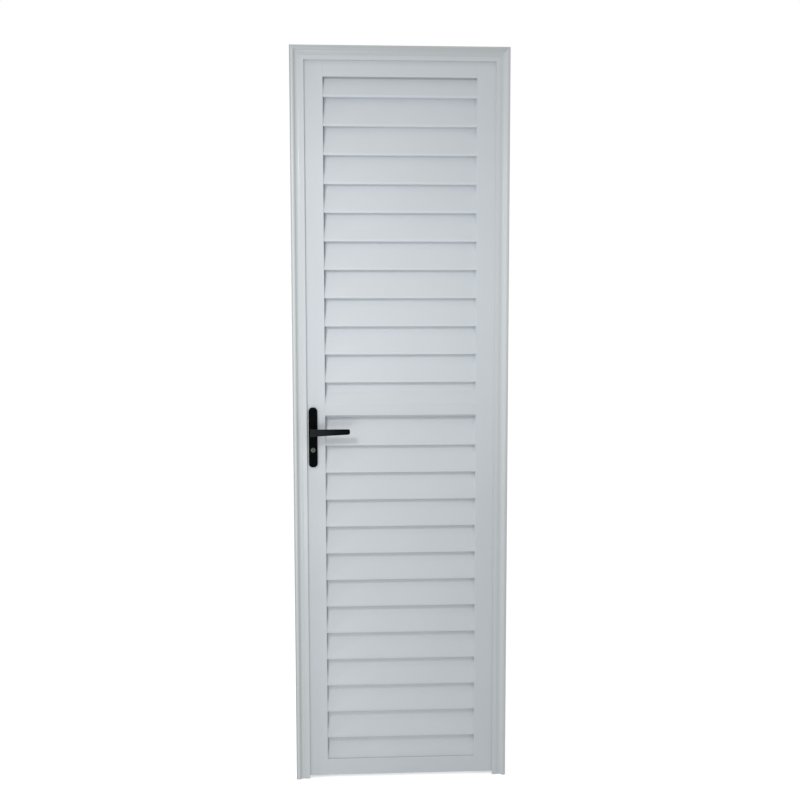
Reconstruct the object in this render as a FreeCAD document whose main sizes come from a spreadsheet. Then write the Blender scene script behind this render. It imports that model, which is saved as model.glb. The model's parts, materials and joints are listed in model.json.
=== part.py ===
import FreeCAD, Part
import math
import os
import types

import Sketcher

# A louvred door leaf of white painted aluminium in its own frame, seen from outside.
# Millimetres. x runs along the wall from the lock side (negative) to the hinge side (zero),
# y runs from outside to inside, z runs up from the floor.
# The origin is on the wall face of the hinge jamb, at floor level, in the plane of the frame's front strip.

# Driving dimensions: name, size, meaning
SIZE_TABLE = (
    ("frame_width", 600.0, "overall width between the two wall faces"),
    ("frame_height", 2050.0, "overall height from the floor to the top of the head"),
    ("flange_width", 38.0, "front flange, from the wall face to its free lip"),
    ("lip_thickness", 2.8, "thickness of the flange lip"),
    ("bead_width", 13.0, "round bead along the outer edge of the flange"),
    ("bead_side", 1.5, "height of the bead at the wall face"),
    ("bead_foot", 0.6, "height of the bead at its inner foot"),
    ("bead_radius", 7.5, "radius of the bead"),
    ("cove_width", 14.0, "hollow moulding beside the bead"),
    ("cove_depth", 2.2, "depth of the hollow moulding"),
    ("jamb_width", 23.5, "box part of the frame section, across"),
    ("extrusion_wall", 1.6, "wall of the frame, stile and rail sections"),
    ("edge_gap", 6.5, "running gap round the leaf, top and sides"),
    ("stop_gap", 5.2, "gap between the flange lip and the closed leaf"),
    ("floor_gap", 7.0, "gap under the leaf"),
    ("fixing_radius", 3.0, "wall screw holes in the jambs"),
    ("lower_fixing_level", 400.0, "height of the lower wall screw"),
    ("fixing_spacing", 1300.0, "distance between the wall screws of a jamb"),
    ("leaf_thickness", 28.0, "leaf, front to back"),
    ("stile_width", 59.0, "upright sides of the leaf"),
    ("corner_radius", 0.5, "rounded edges of the stile and rail sections"),
    ("top_rail_height", 51.0, "top rail"),
    ("mid_rail_height", 34.5, "rail between the two louvre panels"),
    ("mid_rail_level", 1042.5, "underside of that rail above the floor"),
    ("mid_rail_bevel", 4.0, "bevel along the lower front edge of that rail"),
    ("bottom_rail_height", 47.0, "bottom rail"),
    ("upper_slat_pitch", 77.8, "distance from one slat to the next in the upper panel"),
    ("lower_slat_pitch", 76.8, "distance from one slat to the next in the lower panel"),
    ("slat_height", 87.0, "slat, top to bottom, so that it reaches up behind the one above"),
    ("slat_thickness", 1.6, "sheet of the slats"),
    ("slat_depth", 22.0, "slat, front to back"),
    ("slat_setback", 3.0, "front edge of the slats behind the face of the leaf"),
    ("slat_lip", 6.0, "upright front lip of a slat"),
    ("slat_hem", 6.0, "turned-in hem under the lip"),
    ("slat_hook", 8.0, "upright hook along the top of a slat"),
    ("slat_edge_radius", 1.0, "round front edge of the hem"),
    ("upper_first_drop", 53.0, "first lip below the top rail"),
    ("lower_first_drop", 81.5, "first lip below the middle rail"),
    ("hinge_height", 76.0, "hinge, top to bottom"),
    ("hinge_end_distance", 250.0, "centre of the end hinges from the ends of the leaf"),
    ("wing_width", 17.0, "hinge wing"),
    ("wing_thickness", 3.0, "hinge wing"),
    ("knuckle_radius", 6.0, "hinge knuckle"),
    ("knuckle_standoff", 7.0, "hinge axis behind the back of the leaf"),
    ("knuckle_gap", 0.4, "gap between the two knuckles of a hinge"),
    ("hinge_pin_radius", 3.5, "hinge pin"),
    ("pin_clearance", 0.1, "radial clearance of the hinge pin"),
    ("spindle_level", 1002.0, "height of the handle spindle"),
    ("backset", 25.0, "spindle and key cylinder from the edge of the leaf"),
    ("cylinder_drop", 52.0, "key cylinder below the spindle"),
    ("plate_width", 24.0, "handle plate"),
    ("plate_length", 167.0, "handle plate"),
    ("plate_rise", 66.5, "top of the handle plate above the spindle"),
    ("plate_thickness", 8.0, "handle plate"),
    ("plate_corner", 10.0, "corner radius of the handle plate"),
    ("plate_edge", 1.5, "bevelled front edge of the handle plate"),
    ("neck_radius", 6.5, "round neck of the lever"),
    ("neck_length", 31.0, "neck from the plate to the grip"),
    ("neck_entry", 5.0, "neck inside the plate"),
    ("neck_clearance", 0.3, "radial clearance of the neck in the plate"),
    ("hub_height", 20.0, "square hub of the lever"),
    ("hub_heel", 6.5, "hub behind the spindle axis"),
    ("hub_reach", 9.5, "hub ahead of the spindle axis"),
    ("hub_thickness", 11.0, "hub, front to back"),
    ("hub_proud", 1.2, "hub in front of the grip"),
    ("hub_edge", 0.8, "bevelled front edge of the hub"),
    ("grip_reach", 103.0, "tip of the grip from the spindle axis"),
    ("grip_root_height", 19.2, "grip at the hub"),
    ("grip_tip_height", 14.2, "grip at the tip"),
    ("grip_tip_thickness", 8.0, "grip at the tip, front to back"),
    ("grip_corner", 5.0, "corner radius of the tip"),
    ("grip_edge", 2.0, "rounded front edges of the grip"),
    ("spindle_side", 7.0, "square spindle"),
    ("spindle_entry", 16.0, "spindle inside each neck"),
    ("socket_clearance", 0.1, "clearance of the spindle in its socket, each side"),
    ("cylinder_radius", 6.5, "key cylinder"),
    ("cylinder_proud", 1.0, "key cylinder in front of the plate"),
    ("key_slot_length", 8.0, "key slot"),
    ("key_slot_width", 1.6, "key slot"),
    ("key_slot_depth", 6.0, "key slot"),
    ("lock_clearance", 0.3, "clearance round the lock and strike plates and the key cylinder"),
    ("lock_plate_width", 20.0, "lock face plate and strike plate"),
    ("lock_plate_length", 180.0, "lock face plate and strike plate"),
    ("lock_plate_thickness", 2.5, "lock face plate and strike plate"),
    ("lock_case_depth", 42.0, "lock case behind its face plate"),
    ("lock_case_height", 130.0, "lock case"),
    ("lock_case_thickness", 15.0, "lock case, front to back"),
    ("bolt_slot_width", 12.0, "slots of the latch and the dead bolt in the strike plate"),
    ("bolt_slot_length", 26.0, "slots of the latch and the dead bolt in the strike plate"),
)

doc = FreeCAD.newDocument("louvred_door")
sheet = doc.addObject("Spreadsheet::Sheet", "Sizes")
for row, (name, value, meaning) in enumerate(SIZE_TABLE, start=1):
    sheet.set(f"A{row}", meaning)
    sheet.set(f"B{row}", str(value))
    sheet.setAlias(f"B{row}", name)
doc.recompute()


class Size:
    """A length with its value and the sheet formula that it comes from."""

    def __init__(self, value, formula):
        self.value = value
        self.formula = formula

    def __add__(self, other):
        other = as_size(other)
        return Size(self.value + other.value, f"({self.formula} + {other.formula})")

    def __sub__(self, other):
        other = as_size(other)
        return Size(self.value - other.value, f"({self.formula} - {other.formula})")

    def __mul__(self, other):
        other = as_size(other)
        return Size(self.value * other.value, f"({self.formula} * {other.formula})")

    def __truediv__(self, other):
        other = as_size(other)
        return Size(self.value / other.value, f"({self.formula} / {other.formula})")

    def __neg__(self):
        return Size(-self.value, f"(0 - {self.formula})")

    def __rsub__(self, other):
        return as_size(other) - self

    __radd__ = __add__
    __rmul__ = __mul__


def as_size(number):
    """A plain number as a size, so that both can be mixed in sums."""
    return number if isinstance(number, Size) else Size(float(number), str(number))


dim = types.SimpleNamespace(**{name: Size(value, f"Sizes.{name}") for name, value, meaning in SIZE_TABLE})
ZERO = as_size(0)

# Places that several pieces share
leaf_inset = dim.jamb_width + dim.edge_gap
leaf_left = leaf_inset - dim.frame_width
leaf_right = -leaf_inset
leaf_top = dim.frame_height - leaf_inset
leaf_front = dim.lip_thickness + dim.stop_gap
leaf_back = leaf_front + dim.leaf_thickness
opening_left = leaf_left + dim.stile_width
opening_width = dim.frame_width - 2 * leaf_inset - 2 * dim.stile_width
mid_rail_top = dim.mid_rail_level + dim.mid_rail_height
bottom_rail_top = dim.floor_gap + dim.bottom_rail_height
top_rail_bottom = leaf_top - dim.top_rail_height
handle_x = leaf_left + dim.backset
hinge_x = -(dim.jamb_width + dim.edge_gap / 2)
hinge_y = leaf_back + dim.knuckle_standoff
plate_bottom = dim.spindle_level + dim.plate_rise - dim.plate_length
lock_plate_bottom = plate_bottom + dim.plate_length / 2 - dim.lock_plate_length / 2

# The finished pieces, in the order in which they are made
pieces = []


def new_body(label):
    """An empty body that is one of the finished pieces."""
    body = doc.addObject("PartDesign::Body", label)
    body.Label = label
    pieces.append(body)
    return body


def place(item, x, y, z):
    """Put an object at a point that follows the sheet."""
    for axis, size in zip("xyz", (x, y, z)):
        item.setExpression(f".Placement.Base.{axis}", as_size(size).formula)


def new_sketch(body, name, role, offset=ZERO):
    """A sketch on one of the body's origin planes, moved along the plane's normal."""
    sketch = body.newObject("Sketcher::SketchObject", f"{body.Label}_{name}")
    plane = next(item for item in body.Origin.OriginFeatures if item.Role == role)
    sketch.AttachmentSupport = [(plane, "")]
    sketch.MapMode = "FlatFace"
    sketch.setExpression(".AttachmentOffset.Base.z", as_size(offset).formula)
    return sketch


def bind(sketch, constraint, size):
    """Add a measured constraint and tie it to the sheet."""
    index = sketch.addConstraint(constraint)
    sketch.setExpression(f"Constraints[{index}]", size.formula)


def pin_point(sketch, geometry, end, x, y):
    """Fix a point of the sketch by its two distances from the sketch's origin."""
    bind(sketch, Sketcher.Constraint("DistanceX", -1, 1, geometry, end, x.value), x)
    bind(sketch, Sketcher.Constraint("DistanceY", -1, 1, geometry, end, y.value), y)


def draw_loop(sketch, corners):
    """Draw a closed outline.

    A corner is (x, y), and a straight edge leaves it, or (x, y, radius, side), and an arc leaves it
    that bulges to the left (side 1) or to the right (side -1).
    """
    corners = [(as_size(corner[0]), as_size(corner[1])) + tuple(corner[2:]) for corner in corners]
    edges = []
    for corner, following in zip(corners, corners[1:] + corners[:1]):
        start = FreeCAD.Vector(corner[0].value, corner[1].value, 0)
        end = FreeCAD.Vector(following[0].value, following[1].value, 0)
        if len(corner) == 2:
            edges.append((sketch.addGeometry(Part.LineSegment(start, end)), 1, 2))
            continue
        radius, side = corner[2:]
        chord = end - start
        rise = radius.value - math.sqrt(radius.value ** 2 - chord.Length ** 2 / 4)
        left = FreeCAD.Vector(-chord.y, chord.x, 0).normalize()
        middle = (start + end) * 0.5 + left * (side * rise)
        if side > 0:
            edges.append((sketch.addGeometry(Part.Arc(end, middle, start)), 2, 1))
        else:
            edges.append((sketch.addGeometry(Part.Arc(start, middle, end)), 1, 2))
    for corner, edge, previous in zip(corners, edges, edges[-1:] + edges[:-1]):
        sketch.addConstraint(Sketcher.Constraint("Coincident", previous[0], previous[2], edge[0], edge[1]))
        pin_point(sketch, edge[0], edge[1], corner[0], corner[1])
        if len(corner) > 2:
            bind(sketch, Sketcher.Constraint("Radius", edge[0], corner[2].value), corner[2])


def draw_box(sketch, left, low, right, high):
    """Draw a rectangle."""
    draw_loop(sketch, [(left, low), (right, low), (right, high), (left, high)])


def draw_round_box(sketch, left, low, right, high, radius):
    """Draw a rectangle with round corners."""
    draw_loop(sketch, [
        (left + radius, low),
        (right - radius, low, radius, -1),
        (right, low + radius),
        (right, high - radius, radius, -1),
        (right - radius, high),
        (left + radius, high, radius, -1),
        (left, high - radius),
        (left, low + radius, radius, -1),
    ])


def draw_circle(sketch, x, y, radius):
    """Draw a circle."""
    x = as_size(x)
    y = as_size(y)
    centre = FreeCAD.Vector(x.value, y.value, 0)
    circle = sketch.addGeometry(Part.Circle(centre, FreeCAD.Vector(0, 0, 1), radius.value))
    pin_point(sketch, circle, 3, x, y)
    bind(sketch, Sketcher.Constraint("Radius", circle, radius.value), radius)


def pad(body, name, sketch, length, reverse=False):
    """Extrude a sketch."""
    feature = body.newObject("PartDesign::Pad", f"{body.Label}_{name}")
    feature.Profile = sketch
    feature.setExpression("Length", length.formula)
    feature.Reversed = reverse
    return feature


def cut_through(body, name, sketch):
    """Cut a sketch through the whole body, both ways."""
    feature = body.newObject("PartDesign::Pocket", f"{body.Label}_{name}")
    feature.Profile = sketch
    feature.Type = "ThroughAll"
    feature.SideType = "Symmetric"
    return feature


def cut_depth(body, name, sketch, depth, reverse=False):
    """Cut a sketch to a depth."""
    feature = body.newObject("PartDesign::Pocket", f"{body.Label}_{name}")
    feature.Profile = sketch
    feature.setExpression("Length", depth.formula)
    feature.Reversed = reverse
    return feature


def soften_edges(body, kind, name, feature, size, wanted):
    """Round (Fillet) or bevel (Chamfer) the edges of a feature for which wanted(edge) is true."""
    doc.recompute()
    names = [f"Edge{i}" for i, edge in enumerate(feature.Shape.Edges, start=1) if wanted(edge)]
    softened = body.newObject(f"PartDesign::{kind}", f"{body.Label}_{name}")
    softened.Base = (feature, names)
    softened.setExpression("Radius" if kind == "Fillet" else "Size", size.formula)
    return softened


# Frame: one moulded section for both jambs and the head

def frame_section():
    """The frame's section as (distance from the wall face, depth) corners, wall face first."""
    cove_half = dim.cove_width / 2
    cove_radius = (cove_half * cove_half + dim.cove_depth * dim.cove_depth) / (2 * dim.cove_depth)
    outline = [
        (ZERO, leaf_back),
        (dim.jamb_width, leaf_back),
        (dim.jamb_width, dim.lip_thickness),
        (dim.flange_width, dim.lip_thickness),
        (dim.flange_width, ZERO),
        (dim.bead_width + dim.cove_width, ZERO, cove_radius, -1),
        (dim.bead_width, -dim.bead_foot, dim.bead_radius, 1),
        (ZERO, -dim.bead_side),
    ]
    wall = dim.extrusion_wall
    hollow = [
        (wall, leaf_back - wall),
        (dim.jamb_width - wall, leaf_back - wall),
        (dim.jamb_width - wall, dim.cove_depth + wall),
        (wall, dim.cove_depth + wall),
    ]
    return outline, hollow


def turned(corners, function, flip):
    """Corners moved to another place in the sketch; a mirrored outline bulges the other way."""
    result = []
    for corner in corners:
        bulge = () if len(corner) == 2 else (corner[2], -corner[3] if flip else corner[3])
        result.append(function(corner[0], corner[1]) + bulge)
    return result


def make_jamb(label, toward):
    """An upright of the frame; toward is 1 where the leaf lies at higher x, and -1 at lower x."""
    body = new_body(label)
    section = new_sketch(body, "section", "XY_Plane")
    for corners in frame_section():
        draw_loop(section, turned(corners, lambda across, depth: (toward * across, depth), toward < 0))
    pad(body, "upright", section, dim.frame_height)
    mitre = new_sketch(body, "mitre", "XZ_Plane")
    reach = dim.flange_width + dim.edge_gap
    draw_loop(mitre, [
        (ZERO, dim.frame_height),
        (toward * reach, dim.frame_height - reach),
        (toward * reach, dim.frame_height),
    ])
    cut_through(body, "mitre_cut", mitre)
    holes = new_sketch(body, "fixings", "YZ_Plane")
    middle = leaf_front + dim.leaf_thickness / 2
    draw_circle(holes, middle, dim.lower_fixing_level, dim.fixing_radius)
    draw_circle(holes, middle, dim.lower_fixing_level + dim.fixing_spacing, dim.fixing_radius)
    cut_through(body, "fixing_holes", holes)
    return body


hinge_jamb = make_jamb("hinge_jamb", -1)
lock_jamb = make_jamb("lock_jamb", 1)
place(lock_jamb, -dim.frame_width, ZERO, ZERO)

# The lock jamb is cut open for the strike plate
strike_cut = new_sketch(lock_jamb, "strike", "YZ_Plane", dim.jamb_width)
lock_middle = leaf_front + dim.leaf_thickness / 2
lock_half = dim.lock_plate_width / 2 + dim.lock_clearance
draw_box(
    strike_cut,
    lock_middle - lock_half,
    lock_plate_bottom - dim.lock_clearance,
    lock_middle + lock_half,
    lock_plate_bottom + dim.lock_plate_length + dim.lock_clearance,
)
cut_depth(lock_jamb, "strike_cut", strike_cut, dim.lock_plate_thickness)

head = new_body("head")
head_section = new_sketch(head, "section", "YZ_Plane")
for loop in frame_section():
    draw_loop(head_section, turned(loop, lambda across, depth: (depth, -across), False))
pad(head, "beam", head_section, dim.frame_width)
head_reach = dim.flange_width + dim.edge_gap
head_mitre = new_sketch(head, "mitre", "XZ_Plane")
draw_loop(head_mitre, [(ZERO, ZERO), (ZERO, -head_reach), (head_reach, -head_reach)])
draw_loop(head_mitre, [
    (dim.frame_width, ZERO),
    (dim.frame_width - head_reach, -head_reach),
    (dim.frame_width, -head_reach),
])
cut_through(head, "mitre_cut", head_mitre)
place(head, -dim.frame_width, ZERO, dim.frame_height)


# Leaf: hollow stiles over the full height, with hollow rails between them

def make_stile(label, left):
    """An upright side of the leaf."""
    body = new_body(label)
    wall = dim.extrusion_wall
    section = new_sketch(body, "section", "XY_Plane")
    draw_round_box(section, ZERO, ZERO, dim.stile_width, dim.leaf_thickness, dim.corner_radius)
    draw_box(section, wall, wall, dim.stile_width - wall, dim.leaf_thickness - wall)
    pad(body, "upright", section, leaf_top - dim.floor_gap)
    place(body, left, leaf_front, dim.floor_gap)
    return body


def make_rail(label, bottom, height, bevel=ZERO):
    """A cross rail of the leaf, bevelled along its lower front edge if a bevel is given."""
    body = new_body(label)
    wall = dim.extrusion_wall
    section = new_sketch(body, "section", "YZ_Plane")
    draw_round_box(section, ZERO, ZERO, dim.leaf_thickness, height, dim.corner_radius)
    draw_box(section, wall, wall + bevel, dim.leaf_thickness - wall, height - wall)
    pad(body, "rail", section, opening_width)
    if bevel is not ZERO:
        corner = new_sketch(body, "bevel", "YZ_Plane")
        draw_loop(corner, [(-bevel, -bevel), (2 * bevel, -bevel), (-bevel, 2 * bevel)])
        cut_through(body, "bevel_cut", corner)
    place(body, opening_left, leaf_front, bottom)
    return body


lock_stile = make_stile("lock_stile", leaf_left)
hinge_stile = make_stile("hinge_stile", leaf_right - dim.stile_width)
make_rail("top_rail", top_rail_bottom, dim.top_rail_height)
make_rail("mid_rail", dim.mid_rail_level, dim.mid_rail_height, dim.mid_rail_bevel)
make_rail("bottom_rail", dim.floor_gap, dim.bottom_rail_height)

# The lock stile has holes for the spindle and the key cylinder, and its edge is open for the lock
spindle_height = dim.spindle_level - dim.floor_gap
lock_holes = new_sketch(lock_stile, "lock_holes", "XZ_Plane")
draw_circle(lock_holes, dim.backset, spindle_height, dim.neck_radius + dim.neck_clearance)
cylinder_hole = dim.cylinder_radius + dim.lock_clearance
draw_circle(lock_holes, dim.backset, spindle_height - dim.cylinder_drop, cylinder_hole)
cut_through(lock_stile, "lock_hole_cut", lock_holes)
lock_mouth = new_sketch(lock_stile, "lock_mouth", "YZ_Plane")
mouth_low = lock_plate_bottom - dim.floor_gap - dim.lock_clearance
draw_box(
    lock_mouth,
    dim.leaf_thickness / 2 - lock_half,
    mouth_low,
    dim.leaf_thickness / 2 + lock_half,
    mouth_low + dim.lock_plate_length + 2 * dim.lock_clearance,
)
cut_depth(lock_stile, "lock_mouth_cut", lock_mouth, dim.lock_plate_thickness, reverse=True)


# Louvre slats: bent sheet that slopes down and out, with a lip and hem in front and a hook behind

def slat_profile():
    """The slat's section as (distance from its front, height) corners."""
    sheet_wall = dim.slat_thickness
    bend = dim.slat_height - dim.slat_hook
    return [
        (dim.slat_edge_radius, ZERO),
        (dim.slat_hem, ZERO),
        (dim.slat_hem, sheet_wall),
        (sheet_wall, sheet_wall),
        (sheet_wall, dim.slat_lip),
        (dim.slat_depth, bend),
        (dim.slat_depth, dim.slat_height),
        (dim.slat_depth - sheet_wall, dim.slat_height),
        (dim.slat_depth - sheet_wall, bend),
        (ZERO, dim.slat_lip),
        (ZERO, dim.slat_edge_radius, dim.slat_edge_radius, -1),
    ]


def make_slat(label, bottom, low_limit, high_limit):
    """A slat between the stiles, cut off where a rail stands in its way."""
    body = new_body(label)
    section = new_sketch(body, "section", "YZ_Plane")
    draw_loop(section, slat_profile())
    pad(body, "blade", section, opening_width)
    place(body, opening_left, leaf_front + dim.slat_setback, bottom)
    cuts = []
    if low_limit.value > bottom.value:
        cuts.append(("foot", -dim.slat_height, low_limit - bottom))
    if high_limit.value < bottom.value + dim.slat_height.value:
        cuts.append(("crown", high_limit - bottom, 2 * dim.slat_height))
    for name, low, high in cuts:
        trim = new_sketch(body, name, "YZ_Plane")
        draw_box(trim, -dim.slat_depth, low, 2 * dim.slat_depth, high)
        cut_through(body, f"{name}_cut", trim)


def make_panel(prefix, first_bottom, pitch, low_limit, high_limit):
    """A panel of slats from its first lip down to the rail below."""
    bottom = first_bottom
    number = 1
    while True:
        make_slat(f"{prefix}_slat_{number:02d}", bottom, low_limit, high_limit)
        if bottom.value <= low_limit.value:
            break
        bottom = first_bottom - number * pitch
        number += 1


upper_first = top_rail_bottom - dim.upper_first_drop
lower_first = dim.mid_rail_level - dim.lower_first_drop
make_panel("upper", upper_first, dim.upper_slat_pitch, mid_rail_top, top_rail_bottom)
make_panel("lower", lower_first, dim.lower_slat_pitch, bottom_rail_top, dim.mid_rail_level)


# Hinges: lift-off pairs on the back, the pin fixed in the lower half on the jamb

knuckle_height = dim.hinge_height / 2 - dim.knuckle_gap / 2
wing_low = -dim.knuckle_standoff
wing_high = wing_low + dim.wing_thickness
wing_start = dim.knuckle_radius + dim.pin_clearance + dim.knuckle_gap


def make_hinge_half(label, toward, downward, level):
    """One wing with its knuckle round the hinge axis; the half that hangs downward has the bore."""
    body = new_body(label)
    wing = new_sketch(body, "wing", "XY_Plane")
    draw_box(wing, toward * wing_start, wing_low, toward * (wing_start + dim.wing_width), wing_high)
    pad(body, "wing_plate", wing, dim.hinge_height, downward)
    link = new_sketch(body, "link", "XY_Plane")
    draw_box(link, ZERO, wing_low, toward * (wing_start + dim.wing_thickness), wing_high)
    pad(body, "link_plate", link, knuckle_height, downward)
    knuckle = new_sketch(body, "knuckle", "XY_Plane")
    draw_circle(knuckle, ZERO, ZERO, dim.knuckle_radius)
    pad(body, "knuckle_barrel", knuckle, knuckle_height, downward)
    pin = new_sketch(body, "pin", "XY_Plane")
    if downward:
        draw_circle(pin, ZERO, ZERO, dim.hinge_pin_radius + dim.pin_clearance)
        cut_through(body, "bore", pin)
    else:
        draw_circle(pin, ZERO, ZERO, dim.hinge_pin_radius)
        pad(body, "pin_rod", pin, dim.hinge_height)
    place(body, hinge_x, hinge_y, level)


leaf_middle = (leaf_top + dim.floor_gap) / 2
hinge_centres = {
    "lower": dim.floor_gap + dim.hinge_end_distance,
    "middle": leaf_middle,
    "upper": leaf_top - dim.hinge_end_distance,
}
for position, centre in hinge_centres.items():
    make_hinge_half(f"{position}_frame_hinge", 1, False, centre - dim.hinge_height / 2)
    make_hinge_half(f"{position}_leaf_hinge", -1, True, centre + dim.hinge_height / 2)


# Lock: plates on both faces, lever handles on one square spindle, key cylinder and lock case

def make_handle_plate(label, outside):
    """A long plate on one face of the leaf, with holes for the neck and the key cylinder."""
    body = new_body(label)
    outline = new_sketch(body, "outline", "XZ_Plane")
    half = dim.plate_width / 2
    low = dim.plate_rise - dim.plate_length
    draw_round_box(outline, -half, low, half, dim.plate_rise, dim.plate_corner)
    plate = pad(body, "plate", outline, dim.plate_thickness, not outside)
    face = (-1 if outside else 1) * dim.plate_thickness.value

    def on_face(edge):
        return all(abs(vertex.Point.y - face) < 1e-6 for vertex in edge.Vertexes)

    soften_edges(body, "Chamfer", "bevel", plate, dim.plate_edge, on_face)
    holes = new_sketch(body, "holes", "XZ_Plane")
    draw_circle(holes, ZERO, ZERO, dim.neck_radius + dim.neck_clearance)
    draw_circle(holes, ZERO, -dim.cylinder_drop, cylinder_hole)
    cut_through(body, "hole_cut", holes)
    place(body, handle_x, leaf_front if outside else leaf_back, dim.spindle_level)


def make_lever(label, outside):
    """A square hub and a grip that tapers to its tip, on a neck that turns in the plate."""
    body = new_body(label)
    sign = 1 if outside else -1
    upper = dim.grip_root_height / 2
    side = new_sketch(body, "side", "XZ_Plane", sign * dim.neck_length)
    draw_loop(side, [
        (ZERO, -upper),
        (dim.grip_reach, upper - dim.grip_tip_height),
        (dim.grip_reach, upper),
        (ZERO, upper),
    ])
    root_thickness = dim.hub_thickness - dim.hub_proud
    pad(body, "grip", side, root_thickness, not outside)
    plan = new_sketch(body, "plan", "XY_Plane")
    root_face = -sign * (dim.neck_length + root_thickness)
    tip_face = -sign * (dim.neck_length + dim.grip_tip_thickness)
    draw_loop(plan, [(ZERO, root_face), (dim.grip_reach, tip_face), (dim.grip_reach, root_face)])
    tapered = cut_through(body, "taper_cut", plan)

    def tip_corner(edge):
        ends = [vertex.Point for vertex in edge.Vertexes]
        at_tip = all(abs(end.x - dim.grip_reach.value) < 1e-6 for end in ends)
        return at_tip and abs(ends[0].y - ends[-1].y) > 1

    def front_edge(edge):
        ends = [vertex.Point for vertex in edge.Vertexes]
        in_front = all(abs(end.y) > dim.neck_length.value + 1 for end in ends)
        return in_front and any(end.x > dim.hub_reach.value for end in ends)

    def hub_edge(edge):
        hub_face = dim.neck_length.value + dim.hub_thickness.value
        return all(abs(abs(vertex.Point.y) - hub_face) < 1e-6 for vertex in edge.Vertexes)

    tip = soften_edges(body, "Fillet", "tip_corners", tapered, dim.grip_corner, tip_corner)
    soften_edges(body, "Fillet", "grip_rounding", tip, dim.grip_edge, front_edge)
    hub = new_sketch(body, "hub", "XZ_Plane", sign * dim.neck_length)
    half_hub = dim.hub_height / 2
    draw_box(hub, -dim.hub_heel, -half_hub, dim.hub_reach, half_hub)
    block = pad(body, "hub_block", hub, dim.hub_thickness, not outside)
    soften_edges(body, "Chamfer", "hub_bevel", block, dim.hub_edge, hub_edge)
    neck = new_sketch(body, "neck", "XZ_Plane", -sign * dim.neck_entry)
    draw_circle(neck, ZERO, ZERO, dim.neck_radius)
    pad(body, "neck_rod", neck, dim.neck_entry + dim.neck_length + dim.grip_edge, not outside)
    socket = new_sketch(body, "socket", "XZ_Plane", -sign * dim.neck_entry)
    half = dim.spindle_side / 2 + dim.socket_clearance
    draw_box(socket, -half, -half, half, half)
    cut_depth(body, "socket_cut", socket, dim.spindle_entry + dim.socket_clearance, outside)
    face = leaf_front - dim.plate_thickness if outside else leaf_back + dim.plate_thickness
    place(body, handle_x, face, dim.spindle_level)


make_handle_plate("front_plate", True)
make_handle_plate("rear_plate", False)
make_lever("front_lever", True)
make_lever("rear_lever", False)

spindle = new_body("spindle")
spindle_section = new_sketch(spindle, "section", "XZ_Plane")
spindle_half = dim.spindle_side / 2
draw_box(spindle_section, -spindle_half, -spindle_half, spindle_half, spindle_half)
inside_neck = dim.spindle_entry - dim.neck_entry + dim.plate_thickness
spindle_length = dim.leaf_thickness + 2 * inside_neck
pad(spindle, "bar", spindle_section, spindle_length, True)
place(spindle, handle_x, leaf_front - inside_neck, dim.spindle_level)

key_cylinder = new_body("key_cylinder")
cylinder_section = new_sketch(key_cylinder, "section", "XZ_Plane")
draw_circle(cylinder_section, ZERO, ZERO, dim.cylinder_radius)
cylinder_length = dim.leaf_thickness + 2 * dim.plate_thickness + 2 * dim.cylinder_proud
pad(key_cylinder, "barrel", cylinder_section, cylinder_length, True)
slot_half_width = dim.key_slot_width / 2
slot_half_length = dim.key_slot_length / 2
for side, offset in (("front", ZERO), ("rear", -cylinder_length)):
    slot = new_sketch(key_cylinder, f"{side}_slot", "XZ_Plane", offset)
    draw_box(slot, -slot_half_width, -slot_half_length, slot_half_width, slot_half_length)
    cut_depth(key_cylinder, f"{side}_slot_cut", slot, dim.key_slot_depth, side == "rear")
place(
    key_cylinder,
    handle_x,
    leaf_front - dim.plate_thickness - dim.cylinder_proud,
    dim.spindle_level - dim.cylinder_drop,
)

lock_case = new_body("lock_case")
case_plate = new_sketch(lock_case, "face_plate", "YZ_Plane")
half_plate = dim.lock_plate_width / 2
draw_box(case_plate, -half_plate, ZERO, half_plate, dim.lock_plate_length)
pad(lock_case, "face_plate_sheet", case_plate, dim.lock_plate_thickness)
case_box = new_sketch(lock_case, "case", "YZ_Plane")
half_case = dim.lock_case_thickness / 2
case_low = dim.lock_plate_length / 2 - dim.lock_case_height / 2
draw_box(case_box, -half_case, case_low, half_case, case_low + dim.lock_case_height)
pad(lock_case, "case_block", case_box, dim.lock_case_depth)
case_holes = new_sketch(lock_case, "holes", "XZ_Plane")
case_spindle = dim.spindle_level - lock_plate_bottom
draw_circle(case_holes, dim.backset, case_spindle, dim.neck_radius)
draw_circle(case_holes, dim.backset, case_spindle - dim.cylinder_drop, cylinder_hole)
cut_through(lock_case, "hole_cut", case_holes)
place(lock_case, leaf_left, lock_middle, lock_plate_bottom)

strike_plate = new_body("strike_plate")
strike_outline = new_sketch(strike_plate, "outline", "YZ_Plane")
draw_box(strike_outline, -half_plate, ZERO, half_plate, dim.lock_plate_length)
bolt_half = dim.bolt_slot_width / 2
for level in (case_spindle, case_spindle - dim.cylinder_drop):
    draw_box(
        strike_outline,
        -bolt_half,
        level - dim.bolt_slot_length / 2,
        bolt_half,
        level + dim.bolt_slot_length / 2,
    )
pad(strike_plate, "plate", strike_outline, dim.lock_plate_thickness, True)
place(strike_plate, dim.jamb_width - dim.frame_width, lock_middle, lock_plate_bottom)

# Build, check and write the pieces
doc.recompute()
for item in doc.Objects:
    if "Invalid" in item.State or "Error" in item.State:
        raise RuntimeError(f"{item.Label} failed: {item.State}")
for piece in pieces:
    if piece.Shape.isNull() or not piece.Shape.isValid() or len(piece.Shape.Solids) != 1:
        raise RuntimeError(f"{piece.Label} is not one valid solid")

os.makedirs("parts", exist_ok=True)
for piece in pieces:
    piece.Shape.exportStep(f"parts/{piece.Label}.step")
total_volume = sum(piece.Shape.Volume for piece in pieces)
print(f"{len(pieces)} pieces, {total_volume / 1e6:.3f} litres of material")
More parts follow.
